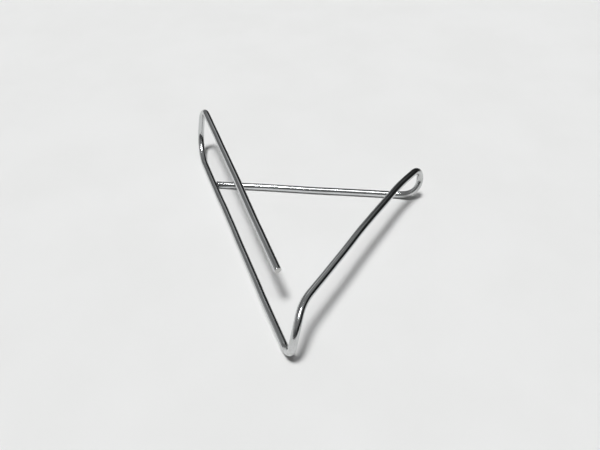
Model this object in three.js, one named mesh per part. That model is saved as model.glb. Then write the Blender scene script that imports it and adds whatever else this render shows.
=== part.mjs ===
// Cable needle made from one length of bright plated steel wire.
//
// The wire is bent back on itself three times into an open stand: a long arm and a short arm lie on
// the table, a raised arm joins them, and a free arm returns over the long arm to a square-cut tip.
// Each return is a loop that stands on edge, with three bends: a foot, a side and a top. The short
// arm closes the triangle: its end is sheared at an angle and lies along the side of the long arm.
//
// Units are millimetres, +Z is up and the table is z = 0. The origin is on the table, under the
// middle of the wire's footprint. Front is -Y, back is +Y and right is +X.
import * as THREE from "three";

// ---- driving dimensions ----
const WIRE_DIAMETER = 1.15; // measured across the flats
const WIRE_RADIUS = WIRE_DIAMETER / 2;
const FACETS = 20; // flats round the wire
const MAX_ARC_STEP_DEG = 7.5; // largest turn between two sections in a bend
const SIDE_GAP = 0.05; // air between the sheared end of the short arm and the long arm

const FREE_TIP = new THREE.Vector3(-3.95, -13.88, 7.21);
// A point on the short arm's line, near its end.
const SHORT_ARM_HEADING = new THREE.Vector3(-15.89, 11.92, WIRE_RADIUS);

const bend = (x, y, z, radius) => ({ corner: new THREE.Vector3(x, y, z), radius });

// Corners of the centre line, in order from the free tip: x, y, z, radius of the bend made there.
const BENDS = {
  backLoopTop: bend(-19.01, 24.05, 9.47, 2.62),
  backLoopSide: bend(-20.2, 23.14, 2.71, 3.43),
  backLoopFoot: bend(-19.53, 19.31, WIRE_RADIUS, 7.34), // the long arm follows
  frontLoopFoot: bend(-2.22, -23.85, WIRE_RADIUS, 2.59),
  frontLoopSide: bend(-1.51, -23.52, 5.92, 3.78),
  frontLoopTop: bend(-0.59, -19.59, 7.43, 6.36), // the raised arm follows
  raisedArmBow: bend(8.19, -6.09, 7.35, 71),
  raisedArmEase: bend(15.54, 4.79, 6.7, 36),
  rightLoopTop: bend(20.28, 10.56, 6.25, 2.05),
  rightLoopSide: bend(19.81, 8.32, 1.47, 2.94),
  rightLoopFoot: bend(16.6, 9.18, WIRE_RADIUS, 6.43), // the short arm follows
};

// ---- the two arms on the table ----
const directionTo = (from, to) => to.clone().sub(from).normalize();

const longFoot = BENDS.backLoopFoot.corner;
const shortFoot = BENDS.rightLoopFoot.corner;
const longDirection = directionTo(longFoot, BENDS.frontLoopFoot.corner);
const shortDirection = directionTo(shortFoot, SHORT_ARM_HEADING);

// Normal of the sheared face: level, square to the long arm, and pointing right to the short arm.
const shearNormal = new THREE.Vector3(-longDirection.y, longDirection.x, 0).normalize();

// The short arm runs until its sheared face stands SIDE_GAP off the long arm's side.
function shortArmEnd() {
  const footOffset = shortFoot.clone().sub(longFoot).dot(shearNormal);
  const endOffset = WIRE_RADIUS + SIDE_GAP;
  const reach = (endOffset - footOffset) / shortDirection.dot(shearNormal);
  return shortFoot.clone().addScaledVector(shortDirection, reach);
}

// ---- centre line: straight runs joined by circular bends ----
// A station is a point on the centre line and the tangent there.

// Stations round one bend, from the end of the run before it to the start of the run after it.
function bendStations({ corner, radius }, before, after) {
  const turn = before.angleTo(after);
  const start = corner.clone().addScaledVector(before, -radius * Math.tan(turn / 2));
  const inward = after.clone().addScaledVector(before, -Math.cos(turn)).normalize();
  const centre = start.clone().addScaledVector(inward, radius);
  const steps = Math.max(2, Math.ceil(THREE.MathUtils.radToDeg(turn) / MAX_ARC_STEP_DEG));
  return Array.from({ length: steps + 1 }, (_, k) => {
    const angle = (turn * k) / steps;
    const cos = Math.cos(angle);
    const sin = Math.sin(angle);
    return {
      point: centre
        .clone()
        .addScaledVector(inward, -radius * cos)
        .addScaledVector(before, radius * sin),
      tangent: before.clone().multiplyScalar(cos).addScaledVector(inward, sin),
    };
  });
}

// All stations, and for each bend's name the index of the station that starts the run after it.
function centreLine() {
  const end = shortArmEnd();
  const corners = [FREE_TIP, ...Object.values(BENDS).map(({ corner }) => corner), end];
  const stations = [{ point: FREE_TIP, tangent: directionTo(FREE_TIP, corners[1]) }];
  const runStart = {};
  Object.entries(BENDS).forEach(([name, wireBend], i) => {
    const before = directionTo(corners[i], corners[i + 1]);
    const after = directionTo(corners[i + 1], corners[i + 2]);
    stations.push(...bendStations(wireBend, before, after));
    runStart[name] = stations.length - 1;
  });
  stations.push({ point: end, tangent: shortDirection });
  return { stations, runStart };
}

// ---- section frames: a normal and a binormal at each station ----

// Normals carried along the wire without twist, from a level one at the free tip.
function carriedNormals(stations) {
  const up = new THREE.Vector3(0, 0, 1);
  const turn = new THREE.Quaternion();
  let normal = up.cross(stations[0].tangent).normalize();
  return stations.map(({ tangent }, i) => {
    normal = normal.clone();
    if (i > 0) {
      turn.setFromUnitVectors(stations[i - 1].tangent, tangent);
      normal.applyQuaternion(turn);
    }
    // Keep rounding errors from tilting the normal off square to the tangent.
    return normal.addScaledVector(tangent, -normal.dot(tangent)).normalize();
  });
}

// The smallest turn about the tangent that brings a flat of the section to face down.
function turnToFlat(tangent, normal) {
  const binormal = tangent.clone().cross(normal);
  const down = Math.atan2(-binormal.z, -normal.z);
  const flatAngle = (2 * Math.PI) / FACETS;
  return down - flatAngle * Math.round(down / flatAngle);
}

// The carried frames, turned so that each arm on the table rests on a flat. The difference between
// the two turns is spread over the stations from the raised arm's start to the right loop's top.
function sectionFrames({ stations, runStart }) {
  const normals = carriedNormals(stations);
  const turnAt = (i) => turnToFlat(stations[i].tangent, normals[i]);
  const longTurn = turnAt(runStart.backLoopFoot);
  const shortTurn = turnAt(runStart.rightLoopFoot);
  const from = runStart.frontLoopTop;
  const to = runStart.rightLoopTop;
  return stations.map(({ tangent }, i) => {
    const share = THREE.MathUtils.clamp((i - from) / (to - from), 0, 1);
    const angle = longTurn + (shortTurn - longTurn) * share;
    const normal = normals[i].clone().applyAxisAngle(tangent, angle);
    return { normal, binormal: tangent.clone().cross(normal) };
  });
}

// Slides a section along the short arm onto the sheared face, which is parallel to the long arm.
function shearSection({ normal, binormal }) {
  for (const axis of [normal, binormal]) {
    const slide = -axis.dot(shearNormal) / shortDirection.dot(shearNormal);
    axis.addScaledVector(shortDirection, slide);
  }
}

// ---- the wire ----

// A curve that gives the sweep its own stations and frames in place of evenly spaced ones.
class WirePath extends THREE.Curve {
  constructor() {
    super();
    const line = centreLine();
    this.stations = line.stations;
    this.frames = sectionFrames(line);
    shearSection(this.frames.at(-1));
  }

  getSpacedPoints() {
    return this.stations.map(({ point }) => point);
  }

  computeFrenetFrames() {
    return {
      tangents: this.stations.map(({ tangent }) => tangent),
      normals: this.frames.map(({ normal }) => normal),
      binormals: this.frames.map(({ binormal }) => binormal),
    };
  }
}

// A regular polygon whose flats stand WIRE_RADIUS off the centre line.
function wireSection() {
  const cornerRadius = WIRE_RADIUS / Math.cos(Math.PI / FACETS);
  const points = Array.from({ length: FACETS }, (_, k) => {
    const angle = ((k + 0.5) * 2 * Math.PI) / FACETS;
    return new THREE.Vector2(cornerRadius * Math.cos(angle), cornerRadius * Math.sin(angle));
  });
  return new THREE.Shape(points);
}

function brightSteel() {
  return new THREE.MeshStandardMaterial({
    name: "bright_plated_steel",
    color: 0xc4c7c9,
    metalness: 1,
    roughness: 0.16,
  });
}

function bentWire() {
  const path = new WirePath();
  const geometry = new THREE.ExtrudeGeometry(wireSection(), {
    steps: path.stations.length - 1,
    extrudePath: path,
    bevelEnabled: false,
  });
  const wire = new THREE.Mesh(geometry, brightSteel());
  wire.name = "bent_wire";
  return wire;
}

const cableNeedle = new THREE.Group();
cableNeedle.add(bentWire());

export default cableNeedle;
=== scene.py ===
"""Bent-wire cable needle: one round steel wire, bent into three loops and sheared at both ends.

It lies on the table (XY, +Z up). A raised arm runs from the free tip to the back loop (+Y), the long arm lies on
the table from there to the front loop (-Y), and a second raised arm bows across to the right loop (+X). The short
arm comes back from it on the table and stops just off the long arm. Wire lengths are in millimetres and become
metres when the mesh is made.
"""

import math

import bpy
import numpy as np
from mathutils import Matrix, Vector


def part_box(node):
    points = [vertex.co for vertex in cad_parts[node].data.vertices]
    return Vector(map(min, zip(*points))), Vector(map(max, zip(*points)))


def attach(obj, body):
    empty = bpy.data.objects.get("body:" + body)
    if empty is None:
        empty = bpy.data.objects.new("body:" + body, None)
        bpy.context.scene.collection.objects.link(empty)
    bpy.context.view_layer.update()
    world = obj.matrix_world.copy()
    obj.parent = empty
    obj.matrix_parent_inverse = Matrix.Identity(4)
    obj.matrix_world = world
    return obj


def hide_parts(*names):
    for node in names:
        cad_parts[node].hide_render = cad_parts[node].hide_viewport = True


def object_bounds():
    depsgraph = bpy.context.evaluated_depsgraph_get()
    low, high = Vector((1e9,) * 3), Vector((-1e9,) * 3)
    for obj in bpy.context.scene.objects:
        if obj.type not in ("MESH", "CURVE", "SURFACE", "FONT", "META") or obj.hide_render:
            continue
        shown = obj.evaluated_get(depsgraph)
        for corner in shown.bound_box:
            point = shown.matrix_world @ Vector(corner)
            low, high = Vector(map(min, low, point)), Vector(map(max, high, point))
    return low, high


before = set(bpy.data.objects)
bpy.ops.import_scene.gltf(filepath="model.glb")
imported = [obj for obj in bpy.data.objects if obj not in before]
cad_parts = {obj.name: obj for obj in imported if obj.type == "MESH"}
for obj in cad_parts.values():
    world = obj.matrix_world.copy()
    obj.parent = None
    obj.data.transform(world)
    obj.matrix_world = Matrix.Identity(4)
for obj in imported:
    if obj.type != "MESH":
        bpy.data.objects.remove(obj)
cad_lo, cad_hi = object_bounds()

MM = 0.001
NODE = "bent_wire"

# ---------------------------------------------------------------------------------------------------------------
# Dimensions of the wire
# ---------------------------------------------------------------------------------------------------------------
WIRE_R = 0.575
SIDE_GAP = 0.05  # between the short arm's end face and the long arm
FREE_TIP = (-3.95, -13.88, 7.21)
BENDS = [  # corner of the centre line, bend radius there
    ((-19.01, 24.05, 9.47), 2.62),  # back loop: top, side, foot
    ((-20.2, 23.14, 2.71), 3.43),
    ((-19.53, 19.31, WIRE_R), 7.34),
    ((-2.22, -23.85, WIRE_R), 2.59),  # front loop: foot, side, top
    ((-1.51, -23.52, 5.92), 3.78),
    ((-0.59, -19.59, 7.43), 6.36),
    ((8.19, -6.09, 7.35), 71.0),  # the raised arm's bow, and its ease into the right loop
    ((15.54, 4.79, 6.7), 36.0),
    ((20.28, 10.56, 6.25), 2.05),  # right loop: top, side, foot
    ((19.81, 8.32, 1.47), 2.94),
    ((16.6, 9.18, WIRE_R), 6.43),
]
LONG_START, LONG_END, SHORT_START = 3, 4, 11  # corner numbers, counting the free tip as 0
SHORT_ARM_HEADING = (-15.89, 11.92, WIRE_R)  # a point the short arm aims at

# Wandering of the arms and of the radius: height, wavelength, phase
SWAY = [(0.030, 31.0, 0.4), (0.016, 13.7, 2.1), (0.006, 6.1, 4.0)]  # sideways
LIFT = [(0.022, 27.0, 1.9), (0.010, 11.3, 0.3)]  # up and down, on raised parts only
RADIUS_WAVE = [(0.0012, 9.0, 0.2), (0.0008, 4.3, 1.0)]  # as a share of the radius
TIP_FADE, HEEL_FADE = 6, 8  # lengths over which the wandering dies away at the ends

STEP = 0.05  # spacing of the fine path
ARM_SPACING = 0.42  # spacing of the rings on a straight
BEND_TURN = math.radians(2.4)  # turn from ring to ring in a bend
SIDES = 72

# Sheared ends: the angle at which the blade enters, the depth of the edge it rolls over, the least such depth all
# round, and the height of the burr where it leaves. The heel is the short arm's end.
TIP = {"blade": math.radians(215), "roll": 0.085, "burr": 0.045, "least": 0.018}
HEEL = {"blade": math.radians(60), "roll": 0.012, "burr": 0.006, "least": 0.012}
ROLL_RINGS = 6
FACE_RINGS = (0.965, 0.93, 0.89, 0.83, 0.76, 0.68, 0.59, 0.49, 0.39, 0.29, 0.19, 0.09)  # shares of the face's radius
TORN_DEPTH = 0.022
EDGE_BAND = 0.02  # a second wall ring this close to each edge keeps the edge's shading to the edge
TIP_CLEAR = 0.2  # no ordinary ring nearer to the tip than this
HEEL_TURN = 1.2  # nor to the heel than this, where sections turn to the slanted cut


# ---------------------------------------------------------------------------------------------------------------
# Centre line
# ---------------------------------------------------------------------------------------------------------------
def unit(vector):
    return vector / np.linalg.norm(vector)


def unit_rows(vectors):
    return vectors / np.linalg.norm(vectors, axis=1)[:, None]


def distances(points):
    """Distance of each point along a path from its start."""
    return np.r_[0, np.cumsum(np.linalg.norm(np.diff(points, axis=0), axis=1))]


def at_distances(wanted, along, rows):
    return np.column_stack([np.interp(wanted, along, rows[:, k]) for k in range(3)])


def wave(along, terms):
    return sum(
        height * np.sin(2 * np.pi * along / wavelength + phase) for height, wavelength, phase in terms
    )


def eased(values, width):
    """Gaussian smoothing along the fine path, with straight extrapolation at its ends."""
    half = int(4 * width / STEP)
    kernel = np.exp(-0.5 * (np.arange(-half, half + 1) * STEP / width) ** 2)
    kernel /= kernel.sum()
    rows = values.reshape(len(values), -1)
    head = rows[0] + (rows[0] - rows[1]) * np.arange(half, 0, -1)[:, None]
    tail = rows[-1] + (rows[-1] - rows[-2]) * np.arange(1, half + 1)[:, None]
    padded = np.vstack([head, rows, tail])
    smooth = [np.convolve(padded[:, j], kernel, "valid") for j in range(rows.shape[1])]
    return np.column_stack(smooth).reshape(values.shape)


def corner_points():
    """All corners with both ends, and the level direction from the long arm towards the short one."""
    corners = [np.array(FREE_TIP)] + [np.array(corner) for corner, _ in BENDS]
    long_way = unit(corners[LONG_END] - corners[LONG_START])
    side = unit(np.array([-long_way[1], long_way[0], 0.0]))
    foot = corners[SHORT_START]
    short_way = unit(np.array(SHORT_ARM_HEADING) - foot)
    reach = (WIRE_R + SIDE_GAP - (foot - corners[LONG_START]) @ side) / (short_way @ side)
    return corners + [foot + short_way * reach], side


def bent_path(corners):
    """Points about every STEP along the straight runs and circular bends."""
    points = [corners[0]]

    def run_to(goal):
        start = points[-1]
        count = max(1, int(np.ceil(np.linalg.norm(goal - start) / STEP)))
        for k in range(1, count + 1):
            points.append(start + (goal - start) * k / count)

    for i, (_, radius) in enumerate(BENDS):
        before = unit(corners[i + 1] - corners[i])
        after = unit(corners[i + 2] - corners[i + 1])
        turn = math.acos(float(np.clip(before @ after, -1, 1)))
        start = corners[i + 1] - before * radius * math.tan(turn / 2)
        run_to(start)
        inward = unit(after - before * math.cos(turn))
        centre = start + inward * radius
        count = max(2, int(np.ceil(radius * turn / STEP)))
        for k in range(1, count + 1):
            angle = turn * k / count
            points.append(
                centre - inward * radius * math.cos(angle) + before * radius * math.sin(angle)
            )
    run_to(corners[-1])
    return np.array(points)


def even_path(points):
    along = distances(points)
    even = np.linspace(0, along[-1], int(round(along[-1] / STEP)) + 1)
    return even, at_distances(even, along, points)


def wander(path, along):
    """The arms wander a few hundredths: sideways where they run level, up and down where they are raised."""
    tangents = unit_rows(np.gradient(path, axis=0))
    level = np.column_stack([-tangents[:, 1], tangents[:, 0], np.zeros(len(path))])
    flatness = np.clip(np.hypot(tangents[:, 0], tangents[:, 1]) * 1.6 - 0.6, 0, 1)
    fade = np.clip(along / TIP_FADE, 0, 1) * np.clip((along[-1] - along) / HEEL_FADE, 0, 1)
    path = path + level * (eased(flatness, 0.8) * fade * wave(along, SWAY))[:, None]
    raised = np.clip((path[:, 2] - 1.2) / 2.0, 0, 1)
    path[:, 2] += eased(raised, 0.8) * fade * wave(along, LIFT)
    return path


corners, heel_side = corner_points()
even_along, path = even_path(bent_path(corners))
path = wander(eased(path, 0.30), even_along)  # a hand bend runs into its straight without a kink
path_tangents = unit_rows(np.gradient(path, axis=0))
path_along = distances(path)
path_curvature = eased(np.gradient(path_tangents, path_along, axis=0), 0.25)
bendiness = np.linalg.norm(path_curvature, axis=1)

# Stations: dense in the bends, wider apart on the arms.
density = 1 / ARM_SPACING + bendiness / BEND_TURN
station_count = np.r_[0, np.cumsum((density[1:] + density[:-1]) / 2 * np.diff(path_along))]
even_count = np.linspace(0, station_count[-1], int(round(station_count[-1])) + 1)
along = np.interp(even_count, station_count, path_along)
centres = at_distances(along, path_along, path)
tangents = unit_rows(at_distances(along, path_along, path_tangents))
curvature = at_distances(along, path_along, path_curvature)


# ---------------------------------------------------------------------------------------------------------------
# Sections
# ---------------------------------------------------------------------------------------------------------------
def untwisted_normals():
    """Normals carried along the stations by double reflection, without twist."""
    normals = np.zeros_like(centres)
    normals[0] = unit(np.cross([0, 0, 1.0], tangents[0]))
    for i in range(1, len(centres)):
        move = centres[i] - centres[i - 1]
        scale = 2 / (move @ move)
        normal = normals[i - 1] - scale * (move @ normals[i - 1]) * move
        tangent = tangents[i - 1] - scale * (move @ tangents[i - 1]) * move
        change = tangents[i] - tangent
        if change @ change > 1e-20:
            normal = normal - (2 / (change @ change + 1e-30)) * (change @ normal) * change
        normals[i] = unit(normal - (normal @ tangents[i]) * tangents[i])
    return normals


def section_radii(curve_n, curve_b, bend):
    """Round, pressed a little oval in the bends, with a shallow flat on the inside of each."""
    from_inside = angles[None, :] - np.arctan2(curve_b, curve_n)[:, None]
    oval = 0.085 * bend[:, None]
    double = np.cos(2 * from_inside)
    flat = np.clip((np.cos(from_inside) - 0.80) / 0.20, 0, 1) ** 2
    flat = flat * np.clip(bend - 0.12, 0, 1)[:, None] * 0.06
    pressed = oval * (0.5 + 0.5 * double)
    spread = 0.35 * oval * (0.5 - 0.5 * double)
    return WIRE_R * (1 - pressed + spread - flat) * (1 + wave(along, RADIUS_WAVE))[:, None]


normals = untwisted_normals()
binormals = np.cross(tangents, normals)
angles = np.arange(SIDES) * 2 * math.pi / SIDES
cosines, sines = np.cos(angles), np.sin(angles)
curve_n, curve_b = (curvature * normals).sum(1), (curvature * binormals).sum(1)
bend_here = np.hypot(curve_n, curve_b) * WIRE_R
radii = section_radii(curve_n, curve_b, bend_here)

# How far forming has worked the surface: the bends, spreading into what lies between them in a loop.
spread_bend = np.interp(along, path_along, eased(bendiness, 1.1)) * WIRE_R
worked = np.maximum(bend_here * 0.8, spread_bend * 1.25)


# ---------------------------------------------------------------------------------------------------------------
# Rings and sheared ends
# ---------------------------------------------------------------------------------------------------------------
def ring(centre, normal, binormal, radius, distance, bend=0.0, cut=0.0, push=0.0):
    """One ring: its points, moved by push, and its wire coordinates, bend and cut weights."""
    across, up = radius * cosines, radius * sines
    points = centre + across[:, None] * normal + up[:, None] * binormal + push
    wire_co = np.column_stack([np.broadcast_to(distance, SIDES), across, up])
    return points, wire_co, np.full(SIDES, bend), np.full(SIDES, cut)


def blade_share(end):
    """1 where the blade enters, 0 where it leaves."""
    return np.clip(0.5 + 0.5 * np.cos(angles - end["blade"]), 0, 1)


def roll_depth(end):
    return end["roll"] * blade_share(end) ** 1.5 + end["least"]


def cap(centre, normal, binormal, out, distance, sign, end):
    """A sheared end: rings from the wall towards the middle, and the middle point. The blade rolls the edge over
    where it enters, leaves a bright band and then a torn one, and pushes up a thin burr where it leaves."""
    roll = roll_depth(end)
    lip = end["burr"] * np.clip((1 - blade_share(end) - 0.55) / 0.45, 0, 1) ** 1.5
    lip = lip * (1 + 0.25 * np.sin(5 * angles + 1.0) + 0.15 * np.sin(11 * angles + 2.0))
    profile = []  # radius, height, cut weight
    for k in range(1, ROLL_RINGS + 1):  # the rolled edge, a quarter round
        share = k / ROLL_RINGS
        angle = share * math.pi / 2
        height = -roll * (1 - math.sin(angle)) + lip * share**2
        profile.append((WIRE_R - roll * (1 - math.cos(angle)), height, min(1.0, k / 5)))
    for share in FACE_RINGS:
        radius = (WIRE_R - roll) * share
        to_blade = radius * np.cos(angles - end["blade"]) / WIRE_R
        torn = np.clip((0.15 - to_blade) / 0.12, 0, 1)
        height = -TORN_DEPTH * torn + 0.012 * to_blade - 0.010 * (radius / WIRE_R) ** 2
        ripple = np.sin(9 * radius * cosines + 4) * np.sin(11 * radius * sines + 1)
        height = height + torn * 0.006 * ripple
        height = height + lip * np.clip((share - 0.86) / 0.14, 0, 1) ** 2
        profile.append((radius, height, 1.0))
    rings = [
        ring(centre, normal, binormal, radius, distance + sign * height, cut=cut, push=np.outer(height, out))
        for radius, height, cut in profile
    ]
    return rings, centre - out * TORN_DEPTH


def slanted(axis):
    """The heel's section axis, slid along the wire into the plane of the slanted cut."""
    return axis - tangents[-1] * (axis @ heel_side) / (tangents[-1] @ heel_side)


tip_frame = (centres[0], normals[0], binormals[0])
cap_rings, tip_middle = cap(*tip_frame, -tangents[0], 0.0, -1, TIP)
rings = cap_rings[::-1]
for band in (0.0, EDGE_BAND):
    inset = roll_depth(TIP) + band
    rings.append(ring(*tip_frame, WIRE_R, inset, push=np.outer(inset, tangents[0])))

for i in range(1, len(centres)):
    if along[i] > TIP_CLEAR and along[-1] - along[i] > HEEL_TURN:
        rings.append(ring(centres[i], normals[i], binormals[i], radii[i], along[i], bend=worked[i]))

heel_n, heel_b = slanted(normals[-1]), slanted(binormals[-1])
# How square the section still is, and the band behind the edge
for square, band in ((0.75, 0.0), (0.5, 0.0), (0.25, 0.0), (0.0, EDGE_BAND), (0.0, 0.0)):
    normal = normals[-1] * square + heel_n * (1 - square)
    binormal = binormals[-1] * square + heel_b * (1 - square)
    back = HEEL_TURN * square * 0.8
    push = np.outer(-roll_depth(HEEL) - band, tangents[-1]) if square == 0.0 else 0.0
    centre = centres[-1] - tangents[-1] * back
    rings.append(ring(centre, normal, binormal, WIRE_R, along[-1] - back, push=push))
cap_rings, heel_middle = cap(centres[-1], heel_n, heel_b, -heel_side, along[-1], 1, HEEL)
rings += cap_rings


# ---------------------------------------------------------------------------------------------------------------
# Mesh
# ---------------------------------------------------------------------------------------------------------------
def wire_faces(ring_count):
    """Quads between the rings, and a fan at each end round its middle point."""
    last = (ring_count - 1) * SIDES
    tip_index = ring_count * SIDES
    heel_index = tip_index + 1
    pairs = [(j, (j + 1) % SIDES) for j in range(SIDES)]
    faces = []
    for start in range(0, last, SIDES):
        after = start + SIDES
        faces += [(start + j, start + k, after + k, after + j) for j, k in pairs]
    for j, k in pairs:
        faces.append((tip_index, k, j))
        faces.append((heel_index, last + j, last + k))
    return faces


points, wire_co, bend_weight, cut_weight = zip(*rings)
points = np.vstack([*points, tip_middle, heel_middle])
attributes = (
    ("wire_co", "FLOAT_VECTOR", np.vstack([*wire_co, [0, 0, 0], [along[-1], 0, 0]])),
    ("bend", "FLOAT", np.concatenate([*bend_weight, [0, 0]])),
    ("cut", "FLOAT", np.concatenate([*cut_weight, [1, 1]])),
)

# The wire is centred on the CAD piece's box and keeps its own height above the box's foot.
lo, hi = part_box(NODE)
middle_x = (points[:, 0].min() + points[:, 0].max()) / 2 * MM
middle_y = (points[:, 1].min() + points[:, 1].max()) / 2 * MM
shift = np.array([(lo.x + hi.x) / 2 - middle_x, (lo.y + hi.y) / 2 - middle_y, lo.z])

mesh = bpy.data.meshes.new("cable_needle_wire")
mesh.from_pydata((points * MM + shift).tolist(), [], wire_faces(len(rings)))
mesh.update()
for name, kind, values in attributes:
    attribute = mesh.attributes.new(name, kind, "POINT")
    field = "vector" if kind == "FLOAT_VECTOR" else "value"
    attribute.data.foreach_set(field, np.ascontiguousarray(values, np.float32).ravel())
mesh.shade_smooth()
wire = bpy.data.objects.new("cable_needle_wire", mesh)
bpy.context.scene.collection.objects.link(wire)


# ---------------------------------------------------------------------------------------------------------------
# Node helpers
# ---------------------------------------------------------------------------------------------------------------
class Graph:
    """Short names for building a node tree."""

    def __init__(self, owner):
        owner.use_nodes = True
        self.tree = owner.node_tree
        self.tree.nodes.clear()

    def node(self, kind, inputs=None, **props):
        made = self.tree.nodes.new(kind)
        for key, value in props.items():
            setattr(made, key, value)
        for key, value in (inputs or {}).items():
            if isinstance(value, bpy.types.NodeSocket):
                self.tree.links.new(value, made.inputs[key])
            else:
                made.inputs[key].default_value = value
        return made

    def math(self, operation, *args):
        return self.node("ShaderNodeMath", dict(enumerate(args)), operation=operation).outputs[0]

    def times(self, a, b):
        return self.math("MULTIPLY", a, b)

    def minus(self, a, b):
        return self.math("SUBTRACT", a, b)

    def vmath(self, operation, *args):
        made = self.node("ShaderNodeVectorMath", dict(enumerate(args)), operation=operation)
        return made.outputs["Value" if operation == "DOT_PRODUCT" else 0]

    def ramp(self, value, start, end, low=0.0, high=1.0):
        """A smooth step from low, where value is start, to high, where it is end."""
        inputs = {"Value": value, "From Min": start, "From Max": end, "To Min": low, "To Max": high}
        made = self.node("ShaderNodeMapRange", inputs, interpolation_type="SMOOTHSTEP")
        return made.outputs["Result"]

    def fall(self, value, start, end):
        return self.ramp(value, start, end, low=1.0, high=0.0)

    def noise(self, vector, scale, detail=2.0, rough=0.5):
        inputs = {"Vector": vector, "Scale": scale, "Detail": detail, "Roughness": rough}
        return self.node("ShaderNodeTexNoise", inputs).outputs["Fac"]

    def mix(self, factor, a, b):
        return self.node("ShaderNodeMix", {0: factor, 6: a, 7: b}, data_type="RGBA").outputs[2]

    def layers(self, total, rows):
        """total with each row's value, times its amount, added or subtracted in turn."""
        for operation, value, amount in rows:
            total = self.math(operation, total, self.times(value, amount))
        return total

    def elevation(self, z):
        return self.times(self.math("ARCSINE", z), 180 / math.pi)

    def azimuth(self, x, y):
        """Degrees from +Y, positive towards +X."""
        return self.times(self.math("ARCTAN2", x, y), 180 / math.pi)


def rgb(r, g, b):
    return (r, g, b, 1.0)


# ---------------------------------------------------------------------------------------------------------------
# Bright plated steel
# ---------------------------------------------------------------------------------------------------------------
def plated_steel():
    material = bpy.data.materials.new("bright_plated_steel")
    g = Graph(material)
    where = g.node("ShaderNodeAttribute", attribute_name="wire_co").outputs["Vector"]
    bend = g.node("ShaderNodeAttribute", attribute_name="bend").outputs["Fac"]
    cut = g.node("ShaderNodeAttribute", attribute_name="cut").outputs["Fac"]

    def grain(scales, detail=2.0, rough=0.5, vector=where):
        """Noise with its own scale, per millimetre, along the wire and on each axis across it."""
        return g.noise(g.vmath("MULTIPLY", vector, scales), 1.0, detail, rough)

    def thin_line(noise, width):
        """1 on the line where the noise crosses its middle value."""
        return g.fall(g.math("ABSOLUTE", g.minus(noise, 0.5)), start=0.0, end=width)

    draw_wide = grain((0.05, 3.2, 3.2), rough=0.55)  # die lines, running the length of the wire
    draw_fine = grain((0.10, 13.0, 13.0), detail=3.0, rough=0.6)
    cloud = grain((0.35, 0.9, 0.9), detail=3.0, rough=0.55)  # slow changes in the plating
    speck = grain((9.0, 9.0, 9.0))
    peel = grain((5.5, 7.5, 7.5), detail=3.0, rough=0.6)
    bent = g.ramp(bend, start=0.05, end=0.26)

    # Handling scratches: thin slanting lines, in patches.
    shake = g.times(g.noise(where, scale=0.6), 1.3)
    shaken = g.vmath("ADD", where, g.node("ShaderNodeCombineXYZ", {"X": shake}).outputs[0])
    turn = {"Vector": shaken, "Rotation": (0.5, 0.25, 0.9)}
    tilted = g.node("ShaderNodeVectorRotate", turn, rotation_type="EULER_XYZ").outputs[0]
    scratch = thin_line(grain((0.55, 6.0, 6.0), detail=1.0, vector=tilted), width=0.006)
    scratch = g.times(scratch, g.ramp(g.noise(where, scale=0.45), start=0.50, end=0.62))

    # Where the wire is bent the plating turns duller in patches, and crazes in fine dark lines.
    patchy = g.ramp(grain((1.6, 2.2, 2.2), detail=3.0, rough=0.6), start=0.35, end=0.68)
    craze = g.times(thin_line(peel, width=0.022), bent)
    craze = g.times(craze, g.ramp(grain((1.1, 1.1, 1.1)), start=0.46, end=0.60))

    cloudy = g.times(g.ramp(cloud, start=0.3, end=0.7), 0.6)
    tone = g.math("ADD", cloudy, g.times(draw_wide, 0.4))
    plate = g.mix(tone, rgb(0.58, 0.59, 0.595), rgb(0.70, 0.71, 0.715))
    for mask, strength, colour in (
        (g.ramp(draw_fine, start=0.52, end=0.66), 0.30, rgb(0.44, 0.45, 0.455)),  # streaks
        (g.ramp(speck, start=0.66, end=0.74), 0.35, rgb(0.42, 0.41, 0.39)),
        (g.times(bent, patchy), 0.55, rgb(0.50, 0.495, 0.48)),
        (craze, 0.60, rgb(0.20, 0.195, 0.185)),
    ):
        plate = g.mix(g.times(mask, strength), plate, colour)
    raw_grain = grain((20, 9, 9), detail=3.0)
    raw = g.mix(raw_grain, rgb(0.50, 0.495, 0.485), rgb(0.74, 0.735, 0.725))  # the cut faces

    rough = g.layers(0.085, [
        ("ADD", draw_wide, 0.05),
        ("ADD", g.ramp(cloud, start=0.45, end=0.75), 0.04),
        ("ADD", bent, 0.02),
        ("ADD", scratch, 0.12),
        ("ADD", cut, 0.20),
    ])
    height = g.layers(g.times(draw_wide, 1.0), [
        ("ADD", draw_fine, 0.22),
        ("ADD", g.times(peel, bent), 4.0),
        ("SUBTRACT", scratch, 0.35),
        ("SUBTRACT", craze, 0.9),
        ("ADD", cloud, 0.5),
    ])
    relief = {"Strength": 1.0, "Distance": 0.0000045, "Height": height}
    shader = g.node("ShaderNodeBsdfPrincipled", {
        "Base Color": g.mix(cut, plate, raw),
        "Metallic": 1.0,
        "Roughness": rough,
        "Normal": g.node("ShaderNodeBump", relief).outputs[0],
    })
    g.node("ShaderNodeOutputMaterial", {"Surface": shader.outputs[0]})
    return material


steel = plated_steel()
mesh.materials.append(steel)
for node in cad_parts.values():
    for slot in node.material_slots:
        slot.material = steel

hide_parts(NODE)
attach(wire, "root")

# ---------------------------------------------------------------------------------------------------------------
# Floor (from here on lengths are in metres)
# ---------------------------------------------------------------------------------------------------------------
FLOOR_HALF = 6.0
FLOOR_DROP = 0.00001  # below the wire's foot


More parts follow.
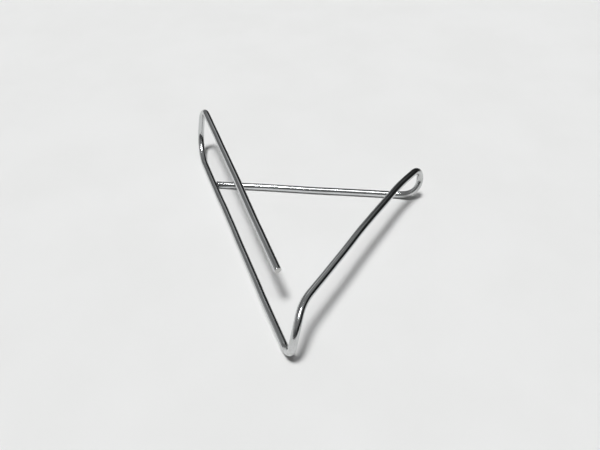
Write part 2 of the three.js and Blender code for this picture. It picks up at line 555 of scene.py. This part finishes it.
def pale_floor():
    material = bpy.data.materials.new("pale_floor")
    g = Graph(material)
    spot = g.node("ShaderNodeTexCoord").outputs["Object"]
    mottle = g.noise(spot, scale=55.0, detail=3.0)
    grain = g.noise(spot, scale=900.0, rough=0.6)
    light, lighter = rgb(0.805, 0.807, 0.800), rgb(0.825, 0.827, 0.822)
    tint = g.mix(g.ramp(mottle, start=0.3, end=0.7), light, lighter)
    bump = g.node("ShaderNodeBump", {"Strength": 0.15, "Distance": 0.00005, "Height": grain})
    surface = {"Color": tint, "Roughness": 0.0, "Normal": bump.outputs[0]}
    dull = g.node("ShaderNodeBsdfDiffuse", surface)
    # Painted shade in reflections: for mirrored rays only, the floor turns almost black at shallow angles behind the
    # wire and to its right, so the wire mirrors dark lines there.
    incoming = g.node("ShaderNodeNewGeometry").outputs["Incoming"]
    x, y, z = g.node("ShaderNodeSeparateXYZ", {"Vector": incoming}).outputs
    azimuth = g.azimuth(g.times(x, -1.0), g.times(y, -1.0))
    painted_shade_mask = g.times(g.ramp(azimuth, start=-24, end=-4), g.fall(azimuth, start=95, end=115))
    painted_shade_mask = g.times(painted_shade_mask, g.fall(g.elevation(z), start=8.0, end=24.0))
    mirrored = g.node("ShaderNodeLightPath").outputs["Is Glossy Ray"]
    # Painted shade: a near-black floor colour, seen only in the wire's reflections
    painted_shade_bsdf = g.node("ShaderNodeBsdfDiffuse", {"Color": rgb(0.03, 0.03, 0.03)})
    blend = {0: g.times(painted_shade_mask, mirrored), 1: dull.outputs[0], 2: painted_shade_bsdf.outputs[0]}
    table = g.node("ShaderNodeMixShader", blend)
    g.node("ShaderNodeOutputMaterial", {"Surface": table.outputs[0]})
    return material


floor_mesh = bpy.data.meshes.new("floor")
floor_corners = [(x * FLOOR_HALF, y * FLOOR_HALF, 0) for x, y in ((-1, -1), (1, -1), (1, 1), (-1, 1))]
floor_mesh.from_pydata(floor_corners, [], [(0, 1, 2, 3)])
floor = bpy.data.objects.new("floor", floor_mesh)
bpy.context.scene.collection.objects.link(floor)
floor.location = (0, 0, cad_lo.z - FLOOR_DROP)
floor_mesh.materials.append(pale_floor())

# ---------------------------------------------------------------------------------------------------------------
# Lamp
# ---------------------------------------------------------------------------------------------------------------
lamp = bpy.data.lights.new("overhead_softbox", "SUN")
lamp.energy = 2.2
lamp.angle = math.radians(13.0)
lamp_object = bpy.data.objects.new("overhead_softbox", lamp)
bpy.context.scene.collection.objects.link(lamp_object)
towards_light = Vector((-0.144, -0.081, 1.0)).normalized()
lamp_object.rotation_mode = "QUATERNION"
lamp_object.rotation_quaternion = towards_light.to_track_quat("Z", "Y")
lamp_object.visible_glossy = False  # the wire mirrors the hot spot in the surroundings instead

# ---------------------------------------------------------------------------------------------------------------
# Surroundings
# ---------------------------------------------------------------------------------------------------------------
BACKDROP = rgb(0.806, 0.812, 0.805)  # the lit floor's own tone, so that the background meets it without a seam
ROOM_TINT = rgb(0.985, 0.995, 1.0)
STRIP_LEVEL = 9.0
STRIP_HALF_LENGTH = 0.20
HOT_SPOT_LEVEL = 48.0


def studio():
    surroundings = bpy.data.worlds.new("studio")
    bpy.context.scene.world = surroundings
    g = Graph(surroundings)
    ray = g.node("ShaderNodeTexCoord").outputs["Generated"]
    x, y, z = g.node("ShaderNodeSeparateXYZ", {"Vector": ray}).outputs
    elevation, azimuth = g.elevation(z), g.azimuth(x, y)
    paths = g.node("ShaderNodeLightPath").outputs

    def window(value, a, b, c, d):
        """0 below a, 1 from b to c, 0 above d."""
        return g.times(g.ramp(value, a, b), g.fall(value, c, d))

    def patch(az, el):
        """1 inside a window of azimuth and elevation, each (start, full, full, end) in degrees."""
        return g.times(window(azimuth, *az), window(elevation, *el))

    def lay(under, level, mask):
        """The room's level replaced by another where the mask is 1."""
        return g.node("ShaderNodeMix", {0: mask, 2: under, 3: level}, data_type="FLOAT").outputs[0]

    def dimmed(value, share):
        """Weaker by this share where it lights dull surfaces."""
        return g.times(value, g.minus(1.0, g.times(paths["Is Diffuse Ray"], share)))

    room = g.ramp(elevation, start=30.0, end=80.0, low=0.19, high=0.25)
    # A paler wall on the left
    room = lay(room, level=0.42, mask=patch(az=(-150, -95, -76, -63), el=(-60, -50, 26, 44)))
    # A dark side in front, and a darker one round the right, for the wire's dark lines
    front = g.ramp(g.math("ABSOLUTE", azimuth), start=118, end=156)
    front = g.times(front, g.fall(elevation, start=22.0, end=44.0))
    room = lay(room, level=0.075, mask=front)
    room = lay(room, level=0.02, mask=patch(az=(-12, 10, 150, 175), el=(-80, -70, 34, 47)))
    # A pale panel high at the back, and a fainter one at the back right
    room = lay(room, level=0.58, mask=patch(az=(-24, -14, -2, 8), el=(35, 41, 50, 58)))
    room = lay(room, level=0.26, mask=patch(az=(20, 34, 66, 80), el=(42, 47, 56, 62)))

    # The long strip of light above, across the view, wider towards its right end
    lean = Vector((0.02, -0.085, 1.0)).normalized()
    breadth = g.ramp(x, start=-0.06, end=0.05, low=0.075, high=0.105)
    off_y = g.vmath("DOT_PRODUCT", ray, (0.0, lean.z, -lean.y))
    off_x = g.minus(g.vmath("DOT_PRODUCT", ray, (1.0, 0.0, 0.0)), lean.x)
    across = g.math("ABSOLUTE", g.math("DIVIDE", off_y, breadth))
    lengthwise = g.math("ABSOLUTE", g.math("DIVIDE", off_x, STRIP_HALF_LENGTH))
    strip = g.times(g.fall(across, start=0.8, end=1.2), g.fall(lengthwise, start=0.75, end=1.15))
    strip = g.times(strip, g.ramp(z, start=0.5, end=0.6))
    room = lay(room, level=STRIP_LEVEL, mask=dimmed(strip, share=0.42))

    # A hot spot in the lamp's place, seen only in mirrored rays
    cosine = g.math("MINIMUM", g.vmath("DOT_PRODUCT", ray, tuple(towards_light)), 1.0)
    off_lamp = g.math("ARCCOSINE", cosine)
    hot_spot = g.fall(off_lamp, start=math.radians(2.2), end=math.radians(4.4))
    hot_spot = g.times(hot_spot, paths["Is Glossy Ray"])
    room = dimmed(lay(room, level=HOT_SPOT_LEVEL, mask=hot_spot), share=0.25)

    around = g.node("ShaderNodeBackground", {"Color": ROOM_TINT, "Strength": room}).outputs[0]
    # What the camera sees past the table
    beyond = g.node("ShaderNodeBackground", {"Color": BACKDROP, "Strength": 1.0}).outputs[0]
    either = g.node("ShaderNodeMixShader", {0: paths["Is Camera Ray"], 1: around, 2: beyond})
    g.node("ShaderNodeOutputWorld", {"Surface": either.outputs[0]})


studio()

# ---------------------------------------------------------------------------------------------------------------
# Camera, in front of the wire and looking down at it
# ---------------------------------------------------------------------------------------------------------------
CAMERA_OFFSET = Vector((-0.00086, -0.05992, 0.06299))  # from the middle of the wire's foot
CAMERA_DOWN = 45.43  # degrees below level

camera = bpy.data.cameras.new("camera")
camera.sensor_width = 36.0
camera.lens = 31.2
camera.clip_start = 0.002
camera.clip_end = 20.0
camera_object = bpy.data.objects.new("camera", camera)
bpy.context.scene.collection.objects.link(camera_object)
bpy.context.scene.camera = camera_object
middle = Vector(((cad_lo.x + cad_hi.x) / 2, (cad_lo.y + cad_hi.y) / 2, cad_lo.z))
camera_object.location = middle + CAMERA_OFFSET
camera_object.rotation_euler = (math.radians(90 - CAMERA_DOWN), 0, 0)
bpy.context.scene.view_settings.view_transform = "Standard"
bpy.context.scene.view_settings.look = "None"
